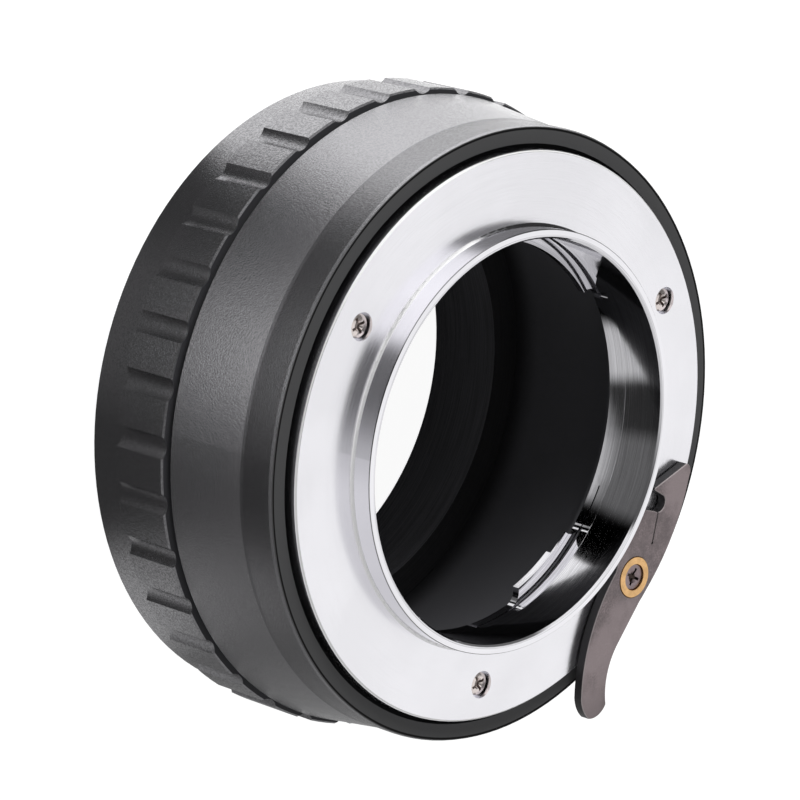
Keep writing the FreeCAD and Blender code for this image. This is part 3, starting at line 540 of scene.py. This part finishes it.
def ridge_tree(material):
    """Rings of triangular section, set out along the optical axis, as a Geometry Nodes tree."""
    tree = bpy.data.node_groups.new("baffle_ridges", "GeometryNodeTree")
    tree.interface.new_socket("Geometry", in_out="OUTPUT", socket_type="NodeSocketGeometry")
    for name, kind, default in (
            ("Bore Radius", "NodeSocketFloat", 0.02), ("Height", "NodeSocketFloat", 0.0001),
            ("Pitch", "NodeSocketFloat", 0.0005), ("Foot", "NodeSocketFloat", 0.0),
            ("Count", "NodeSocketInt", 8), ("Steps", "NodeSocketInt", 96)):
        socket = tree.interface.new_socket(name, in_out="INPUT", socket_type=kind)
        socket.default_value = default
    made = {}

    def node(key, kind, settings=None, sockets=None):
        piece = tree.nodes.new(kind)
        for name, setting in (settings or {}).items():
            setattr(piece, name, setting)
        for name, entry in (sockets or {}).items():
            if isinstance(entry, tuple) and isinstance(entry[0], str):
                tree.links.new(made[entry[0]].outputs[entry[1]], piece.inputs[name])
            else:
                piece.inputs[name].default_value = entry
        made[key] = piece

    node("in", "NodeGroupInput")
    node("path", "GeometryNodeCurvePrimitiveCircle", None, {
        "Resolution": ("in", "Steps"), "Radius": ("in", "Bore Radius")})
    node("section", "GeometryNodeCurvePrimitiveCircle", None, {
        "Resolution": 3, "Radius": ("in", "Height")})
    node("ring", "GeometryNodeCurveToMesh", None, {
        "Curve": ("path", "Curve"), "Profile Curve": ("section", "Curve"), "Fill Caps": False})
    node("smooth", "GeometryNodeSetShadeSmooth", None, {
        "Geometry": ("ring", "Mesh"), "Shade Smooth": False})
    node("step", "ShaderNodeCombineXYZ", None, {"Z": ("in", "Pitch")})
    node("start", "ShaderNodeCombineXYZ", None, {"Z": ("in", "Foot")})
    node("line", "GeometryNodeMeshLine", {"mode": "OFFSET"}, {
        "Count": ("in", "Count"), "Start Location": ("start", "Vector"), "Offset": ("step", "Vector")})
    node("rings", "GeometryNodeInstanceOnPoints", None, {
        "Points": ("line", "Mesh"), "Instance": ("smooth", "Geometry")})
    node("real", "GeometryNodeRealizeInstances", None, {"Geometry": ("rings", "Instances")})
    node("finish", "GeometryNodeSetMaterial", None, {
        "Geometry": ("real", "Geometry"), "Material": material})
    node("out", "NodeGroupOutput", None, {"Geometry": ("finish", "Geometry")})
    return tree


def piece_from_tree(name, tree, values):
    """Runs a Geometry Nodes tree once and keeps its result as a plain mesh."""
    holder = bpy.data.objects.new(name + "_holder", bpy.data.meshes.new(name + "_holder"))
    bpy.context.scene.collection.objects.link(holder)
    modifier = holder.modifiers.new("make", "NODES")
    modifier.node_group = tree
    for item in tree.interface.items_tree:
        if item.in_out == "INPUT" and item.name in values:
            modifier[item.identifier] = values[item.name]
    bpy.context.view_layer.update()
    graph = bpy.context.evaluated_depsgraph_get()
    mesh = bpy.data.meshes.new_from_object(holder.evaluated_get(graph))
    holder.modifiers.clear()
    bpy.data.objects.remove(holder)
    mesh.name = name
    piece = bpy.data.objects.new(name, mesh)
    bpy.context.scene.collection.objects.link(piece)
    return piece


# Stage

def floor_material():
    """White paper that glows for the camera. Shiny faces see lamps and dark flags in its place."""
    finish = Finish("studio_floor")
    turn = finish.turn(finish.x, finish.y)
    far = finish.spread(finish.radius, *FLOOR_FAR_START)
    close = finish.spread(finish.radius, *FLOOR_CLOSE_END, 1.0, 0.0)
    middle = finish.band(finish.radius, *FLOOR_MIDDLE, 2.0)
    key = 1.8 + finish.spread(turn, *KEY_LAMP_RISE, 0.0, 0.3) + far * 0.6 + middle * 0.4
    key = finish.band(turn, KEY_LAMP[0], KEY_LAMP[1] + close * 10.5, 5.0) * key
    strip = finish.band(turn, *SIDE_LAMP, 9.0) * (0.14 + far * 1.6)
    strip = strip + finish.band(turn, *THIN_LAMP, 6.0) * far * 0.4
    low_strip = finish.band(turn, *LOW_LAMP, 9.0) * (0.24 + close * 0.56 + middle * 0.22 - far * 0.12)
    low_strip = low_strip + finish.spread(turn, *LOW_LAMP_TAIL) * 0.30
    low_strip = low_strip + finish.spread(turn, *LOW_LAMP_END) * 0.12
    around = 0.12 + far * 0.18 + key + strip + low_strip
    front = 0.14 + finish.spread(finish.radius, *BORE_FRONT_FADE, 0.62, 0.0)
    side = finish.spread(finish.radius, *BORE_SIDE_FADE, 0.40, 0.03)
    under = finish.band(turn, *BORE_LAMP, 2.0) * 1.1 + finish.band(turn, *BORE_FRONT_LAMP, 8.0) * front
    under = under + finish.band(turn, *BORE_SIDE_LAMP, 6.0) * side
    under = under + finish.band(turn, *BORE_BACK_LAMP, 7.0) * 0.6
    shade = finish.blend_value(finish.spread(finish.radius, *FLOOR_UNDER_END), under, around)
    strength = finish.ray("Camera") + finish.ray("Transmission") + finish.ray("Glossy") * shade
    glow = finish.node("ShaderNodeEmission", None, {"Strength": strength * 0.93})
    paper = finish.node("ShaderNodeBsdfDiffuse", None, {"Color": grey(0.30)})
    unseen = finish.node("ShaderNodeMixShader", None, {0: finish.ray("Glossy"), 1: paper})
    both = finish.node("ShaderNodeAddShader", None, {0: glow, 1: unseen})
    finish.material.cycles.emission_sampling = "NONE"
    return finish.surface(both)


def add_floor(radius):
    mesh = bpy.data.meshes.new("studio_floor")
    count = 96
    height = FOOT_HEIGHT - 0.00002
    angles = [math.tau * step / count for step in range(count)]
    ring = [(radius * math.cos(angle), radius * math.sin(angle), height) for angle in angles]
    mesh.from_pydata(ring, [], [list(range(count))])
    mesh.materials.append(floor_material())
    floor = bpy.data.objects.new("studio_floor", mesh)
    bpy.context.scene.collection.objects.link(floor)


def add_lamp(name, place, size, level):
    """A square soft lamp that looks at the adapter. Its level is the brightness of its face."""
    data = bpy.data.lights.new(name, "AREA")
    data.shape = "SQUARE"
    data.size = size
    data.energy = level * math.pi * size * size
    lamp = bpy.data.objects.new(name, data)
    bpy.context.scene.collection.objects.link(lamp)
    lamp.location = place
    lamp.visible_glossy = False
    way = Vector(place) - Vector(LAMP_TARGET)
    lamp.rotation_euler = way.to_track_quat("Z", "Y").to_euler()


def add_world(level):
    """White and grey walls that only shiny faces see, and even light for the rest."""
    world = bpy.data.worlds.new("studio")
    world.use_nodes = True
    bpy.context.scene.world = world
    shading = Shading(world.node_tree)
    look = shading.node("ShaderNodeTexCoord", output="Generated")
    x, y, z = shading.parts(look)
    turn = shading.turn(x, y)
    walls = 0.14 + shading.band(turn, *KEY_WALL, 6.0) * 1.15 + shading.spread(turn, *SIDE_WALL) * 0.72
    walls = walls + shading.spread(turn, *BACK_WALL) * 0.28 + shading.band(turn, *LOW_WALL, 6.0) * 0.08
    room = shading.blend_value(shading.spread(z, *CEILING_START), walls, 1.0)
    seen = shading.ray("Camera") + shading.ray("Transmission") + shading.ray("Glossy") * room
    strength = seen + shading.ray("Diffuse") * level
    background = shading.node("ShaderNodeBackground", None, {"Strength": strength})
    shading.node("ShaderNodeOutputWorld", None, {"Surface": background})
    world.cycles.sampling_method = "NONE"


def add_camera():
    """The place and lens that the photograph was taken with."""
    camera = bpy.data.objects.new("photo_camera", bpy.data.cameras.new("photo_camera"))
    bpy.context.scene.collection.objects.link(camera)
    turn = Matrix((CAMERA_RIGHT, CAMERA_UP, CAMERA_BACK)).transposed()
    camera.matrix_world = Matrix.Translation(CAMERA_PLACE) @ turn.to_4x4()
    camera.data.sensor_width = CAMERA_SENSOR
    camera.data.lens = CAMERA_LENS
    camera.data.clip_start = 0.02
    camera.data.clip_end = 10.0
    bpy.context.scene.camera = camera


# Operators

class ADAPTER_OT_bayonets(bpy.types.Operator):
    """Satin chrome on the two bayonet plates"""
    bl_idname = "adapter.bayonets"
    bl_label = "Bayonet plates"

    def execute(self, context):
        material = satin_chrome(context.scene.adapter_finishes)
        dress(material, "lens_mount_plate", "camera_mount_plate")
        return {"FINISHED"}


class ADAPTER_OT_barrels(bpy.types.Operator):
    """Blasted, black anodised finish on the two barrels"""
    bl_idname = "adapter.barrels"
    bl_label = "Barrels"

    def execute(self, context):
        dress(black_anodised(context.scene.adapter_finishes), "front_barrel", "rear_barrel")
        return {"FINISHED"}


class ADAPTER_OT_baffle(bpy.types.Operator):
    """Matt black baffle with its fine ridges"""
    bl_idname = "adapter.baffle"
    bl_label = "Light baffle"

    def execute(self, context):
        material = matt_black(context.scene.adapter_finishes)
        dress(material, "light_baffle")
        ridges = context.scene.adapter_ridges
        low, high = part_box("light_baffle")
        count = int((high[2] - low[2]) / ridges.pitch) - 1
        foot = low[2] + (high[2] - low[2] - (count - 1) * ridges.pitch) / 2
        piece = piece_from_tree("baffle_ridges", ridge_tree(material), {
            "Bore Radius": ridges.bore_radius, "Height": ridges.height, "Pitch": ridges.pitch,
            "Foot": foot, "Count": count, "Steps": ridges.steps})
        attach(piece, "adapter")
        return {"FINISHED"}


class ADAPTER_OT_lever(bpy.types.Operator):
    """Warm grey lever, its brass bush, its screw and its spring"""
    bl_idname = "adapter.lever"
    bl_label = "Lock lever"

    def execute(self, context):
        settings = context.scene.adapter_finishes
        dress(lever_steel(settings), "lock_lever")
        dress(turned_metal("brass", settings.brass_colour, 0.34), "lever_bush")
        blued = turned_metal("blued_screw", (0.34, 0.27, 0.28), 0.34, PIVOT_HEAD - 0.12, 0.96)
        dress(blued, "lever_pivot_screw")
        dress(turned_metal("spring_steel", (0.5, 0.5, 0.52), 0.3), "lever_spring")
        return {"FINISHED"}


class ADAPTER_OT_screws(bpy.types.Operator):
    """Bright screws of the two plates"""
    bl_idname = "adapter.screws"
    bl_label = "Screws"

    def execute(self, context):
        colour = context.scene.adapter_finishes.screw_colour
        lens_screws = sorted(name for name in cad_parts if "lens_plate_screw" in name)
        camera_screws = sorted(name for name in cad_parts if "camera_plate_screw" in name)
        dress(turned_metal("screw_steel", colour, 0.18, SCREW_HEAD - 0.22), *lens_screws)
        dress(turned_metal("camera_screw_steel", colour, 0.18), *camera_screws)
        return {"FINISHED"}


class ADAPTER_OT_dots(bpy.types.Operator):
    """Enamel of the two index dots"""
    bl_idname = "adapter.dots"
    bl_label = "Index dots"

    def execute(self, context):
        dress(index_enamel(), "lens_index_dot", "camera_index_dot")
        return {"FINISHED"}


class ADAPTER_OT_stage(bpy.types.Operator):
    """Pale floor, even light, two soft lamps and the camera"""
    bl_idname = "adapter.stage"
    bl_label = "Studio"

    def execute(self, context):
        studio = context.scene.adapter_studio
        add_floor(studio.floor_radius)
        add_world(studio.room_level)
        add_lamp("key_lamp", KEY_PLACE, KEY_SIZE, studio.key_level)
        add_lamp("fill_lamp", FILL_PLACE, FILL_SIZE, studio.fill_level)
        add_camera()
        context.scene.view_settings.view_transform = "Standard"
        return {"FINISHED"}


OPERATORS = (
    ADAPTER_OT_bayonets,
    ADAPTER_OT_barrels,
    ADAPTER_OT_baffle,
    ADAPTER_OT_lever,
    ADAPTER_OT_screws,
    ADAPTER_OT_dots,
    ADAPTER_OT_stage,
)


class ADAPTER_PT_panel(bpy.types.Panel):
    """Lists the pieces in the 3D view's sidebar"""
    bl_idname = "ADAPTER_PT_panel"
    bl_label = "Lens mount adapter"
    bl_space_type = "VIEW_3D"
    bl_region_type = "UI"
    bl_category = "Adapter"

    def draw(self, context):
        for operator in OPERATORS:
            self.layout.operator(operator.bl_idname)
        scene = context.scene
        for group in (scene.adapter_finishes, scene.adapter_ridges, scene.adapter_studio):
            box = self.layout.box()
            for name in group.bl_rna.properties.keys():
                if name not in ("rna_type", "name"):
                    box.prop(group, name)


CLASSES = (AdapterFinishes, AdapterRidges, AdapterStudio) + OPERATORS + (ADAPTER_PT_panel,)


def register():
    for entry in CLASSES:
        bpy.utils.register_class(entry)
    bpy.types.Scene.adapter_finishes = bpy.props.PointerProperty(type=AdapterFinishes)
    bpy.types.Scene.adapter_ridges = bpy.props.PointerProperty(type=AdapterRidges)
    bpy.types.Scene.adapter_studio = bpy.props.PointerProperty(type=AdapterStudio)


def unregister():
    del bpy.types.Scene.adapter_finishes
    del bpy.types.Scene.adapter_ridges
    del bpy.types.Scene.adapter_studio
    for entry in reversed(CLASSES):
        bpy.utils.unregister_class(entry)


def main():
    register()
    bpy.ops.adapter.bayonets()
    bpy.ops.adapter.barrels()
    bpy.ops.adapter.baffle()
    bpy.ops.adapter.lever()
    bpy.ops.adapter.screws()
    bpy.ops.adapter.dots()
    bpy.ops.adapter.stage()


if __name__ == "__main__":
    main()
